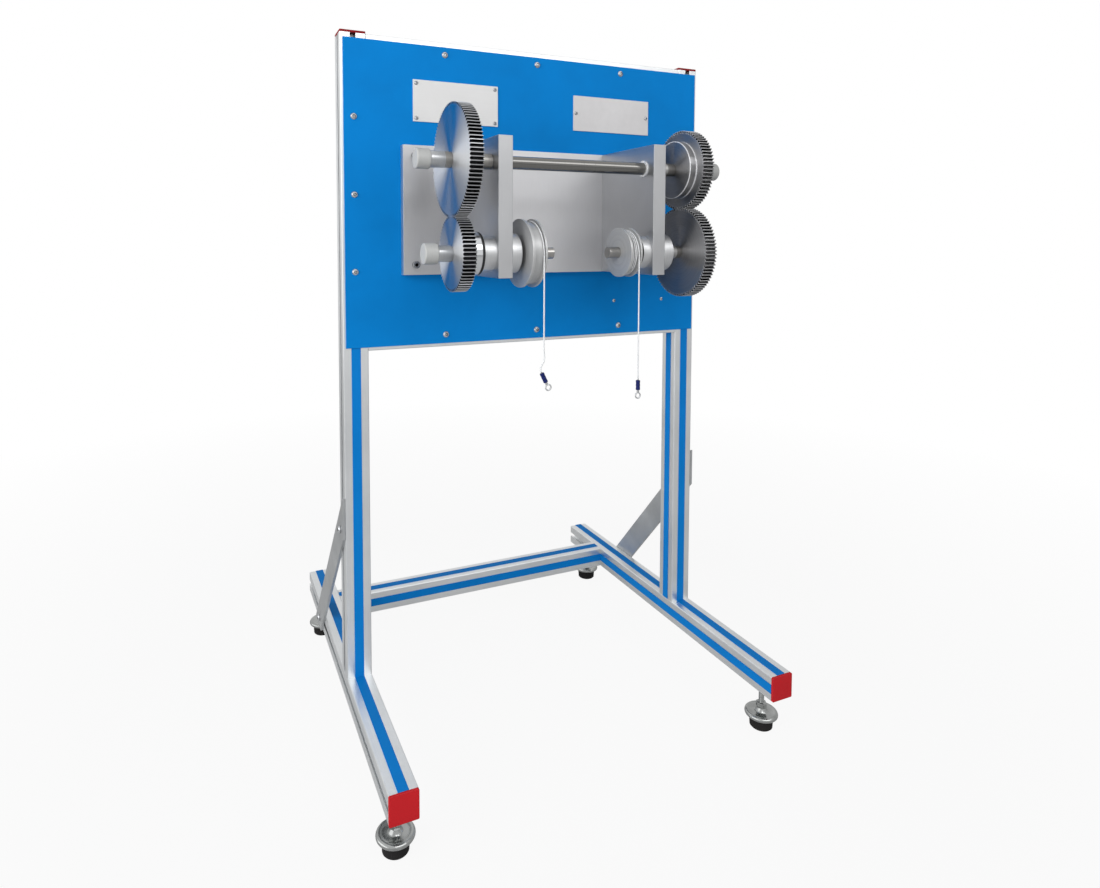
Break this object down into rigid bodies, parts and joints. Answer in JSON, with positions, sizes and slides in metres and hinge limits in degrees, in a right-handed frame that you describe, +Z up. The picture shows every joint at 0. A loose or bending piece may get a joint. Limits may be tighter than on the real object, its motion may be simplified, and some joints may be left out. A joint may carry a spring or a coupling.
{
  "type": "geared lifting apparatus",
  "caption": "Free-standing profile frame with a panel that carries meshed change gears on shafts, which wind two hanging cords on grooved pulleys to lift loads.",
  "frame": {"origin": "on the floor, under the middle of the stand's plan", "axes": "+X right as seen from the front, +Y away from the viewer, +Z up"},
  "size_m": [0.7686, 0.754, 1.274],
  "materials": {
    "profile_aluminium": "clear anodised extrusion",
    "cap_red": "moulded",
    "brace_bar": "brushed flat bar",
    "zinc_screws": "zinc plated",
    "strip_blue": "extruded strip",
    "panel_blue": "smooth satin paint",
    "title_metal": "brushed, bare",
    "side_plate_grey": "satin, bare",
    "plate_aluminium": "milled",
    "bearing_steel": "ground",
    "housing_aluminium": "turned",
    "shaft_steel": "ground",
    "gear_bright": "turned faces",
    "gear_dark": "turned faces, dark",
    "spacer_dark": "turned",
    "collar_chrome": "polished",
    "pulley_aluminium": "turned",
    "cord_white": "braided cord",
    "ferrule_blue": "crimped",
    "knob_satin": "satin",
    "foot_zinc": "zinc plated",
    "pad_rubber": "moulded"
  },
  "bodies": {
    "stand": {"left_rail": "profile_aluminium", "right_rail": "profile_aluminium", "left_upright": "profile_aluminium", "right_upright": "profile_aluminium", "rear_crossbar": "profile_aluminium", "top_crossbar": "profile_aluminium", "panel_crossbar": "profile_aluminium", "end_caps": "cap_red", "left_brace": "brace_bar", "right_brace": "brace_bar", "brace_bolts": "zinc_screws", "cover_strips": "strip_blue", "frame_joint_bolts": "zinc_screws", "foot_inserts": "zinc_screws", "panel": "panel_blue", "panel_screws": "zinc_screws", "title_plate": "title_metal", "side_plate": "side_plate_grey", "small_screws": "zinc_screws", "back_plate": "plate_aluminium", "back_plate_screws": "zinc_screws", "left_bracket": "plate_aluminium", "right_bracket": "plate_aluminium", "bracket_screws": "zinc_screws", "shaft_bearings": "bearing_steel", "left_bearing_housing": "housing_aluminium", "right_bearing_housing": "housing_aluminium"},
    "main_shaft": {"upper_shaft": "shaft_steel", "upper_left_gear": "gear_bright", "upper_right_gear": "gear_dark", "upper_spacers": "spacer_dark", "upper_keys": "shaft_steel"},
    "left_drive": {"left_shaft": "shaft_steel", "lower_left_gear": "gear_bright", "left_collar": "collar_chrome", "left_pulley": "pulley_aluminium", "left_winding": "cord_white", "left_keys": "shaft_steel"},
    "right_drive": {"right_shaft": "shaft_steel", "lower_right_gear": "gear_dark", "right_spacer": "spacer_dark", "right_pulley": "pulley_aluminium", "right_winding": "cord_white", "right_keys": "shaft_steel"},
    "upper_left_clamp": {"upper_left_knob": "knob_satin"},
    "upper_right_clamp": {"upper_right_knob": "knob_satin"},
    "lower_left_clamp": {"lower_left_knob": "knob_satin"},
    "lower_right_clamp": {"lower_right_knob": "knob_satin"},
    "left_lift": {"left_cord": "cord_white", "left_cord_end": "ferrule_blue"},
    "right_lift": {"right_cord": "cord_white", "right_cord_end": "ferrule_blue"},
    "front_left_leveller": {"front_left_foot": "foot_zinc", "front_left_pad": "pad_rubber"},
    "front_right_leveller": {"front_right_foot": "foot_zinc", "front_right_pad": "pad_rubber"},
    "rear_left_leveller": {"rear_left_foot": "foot_zinc", "rear_left_pad": "pad_rubber"},
    "rear_right_leveller": {"rear_right_foot": "foot_zinc", "rear_right_pad": "pad_rubber"}
  },
  "joints": [
    {"name": "main_shaft_turn", "type": "hinge", "parent": "stand", "child": "main_shaft", "pos_m": [0, -0.238, 1.041], "axis": [1, 0, 0], "range_deg": [-120, 90]},
    {"name": "left_drive_turn", "type": "hinge", "parent": "stand", "child": "left_drive", "pos_m": [0, -0.238, 0.891], "axis": [1, 0, 0], "range_deg": [-135, 180]},
    {"name": "right_drive_turn", "type": "hinge", "parent": "stand", "child": "right_drive", "pos_m": [0, -0.238, 0.891], "axis": [1, 0, 0], "range_deg": [-78.75, 105]},
    {"name": "left_cord_lift", "type": "slide", "parent": "stand", "child": "left_lift", "axis": [0, 0, 1], "range_m": [-0.1689, 0.12668], "deforming": ["left_cord"]},
    {"name": "right_cord_lift", "type": "slide", "parent": "stand", "child": "right_lift", "axis": [0, 0, 1], "range_m": [-0.07265, 0.05449], "deforming": ["right_cord"]},
    {"name": "upper_left_knob_turn", "type": "hinge", "parent": "main_shaft", "child": "upper_left_clamp", "pos_m": [-0.25, -0.238, 1.041], "axis": [-1, 0, 0], "range_deg": [0, 360]},
    {"name": "upper_right_knob_turn", "type": "hinge", "parent": "main_shaft", "child": "upper_right_clamp", "pos_m": [0.25, -0.238, 1.041], "axis": [1, 0, 0], "range_deg": [0, 360]},
    {"name": "lower_left_knob_turn", "type": "hinge", "parent": "left_drive", "child": "lower_left_clamp", "pos_m": [-0.25, -0.238, 0.891], "axis": [-1, 0, 0], "range_deg": [0, 360]},
    {"name": "lower_right_knob_turn", "type": "hinge", "parent": "right_drive", "child": "lower_right_clamp", "pos_m": [0.25, -0.238, 0.891], "axis": [1, 0, 0], "range_deg": [0, 360]},
    {"name": "front_left_foot_height", "type": "slide", "parent": "stand", "child": "front_left_leveller", "axis": [0, 0, 1], "range_m": [-0.008, 0.02]},
    {"name": "front_right_foot_height", "type": "slide", "parent": "stand", "child": "front_right_leveller", "axis": [0, 0, 1], "range_m": [-0.008, 0.02]},
    {"name": "rear_left_foot_height", "type": "slide", "parent": "stand", "child": "rear_left_leveller", "axis": [0, 0, 1], "range_m": [-0.008, 0.02]},
    {"name": "rear_right_foot_height", "type": "slide", "parent": "stand", "child": "rear_right_leveller", "axis": [0, 0, 1], "range_m": [-0.008, 0.02]}
  ],
  "couplings": [
    {"joint": "left_drive_turn", "follows": "main_shaft_turn", "ratio": -1.5},
    {"joint": "right_drive_turn", "follows": "main_shaft_turn", "ratio": -0.875},
    {"joint": "left_cord_lift", "follows": "main_shaft_turn", "m_per_rad": 0.08064},
    {"joint": "right_cord_lift", "follows": "main_shaft_turn", "m_per_rad": 0.034684}
  ]
}
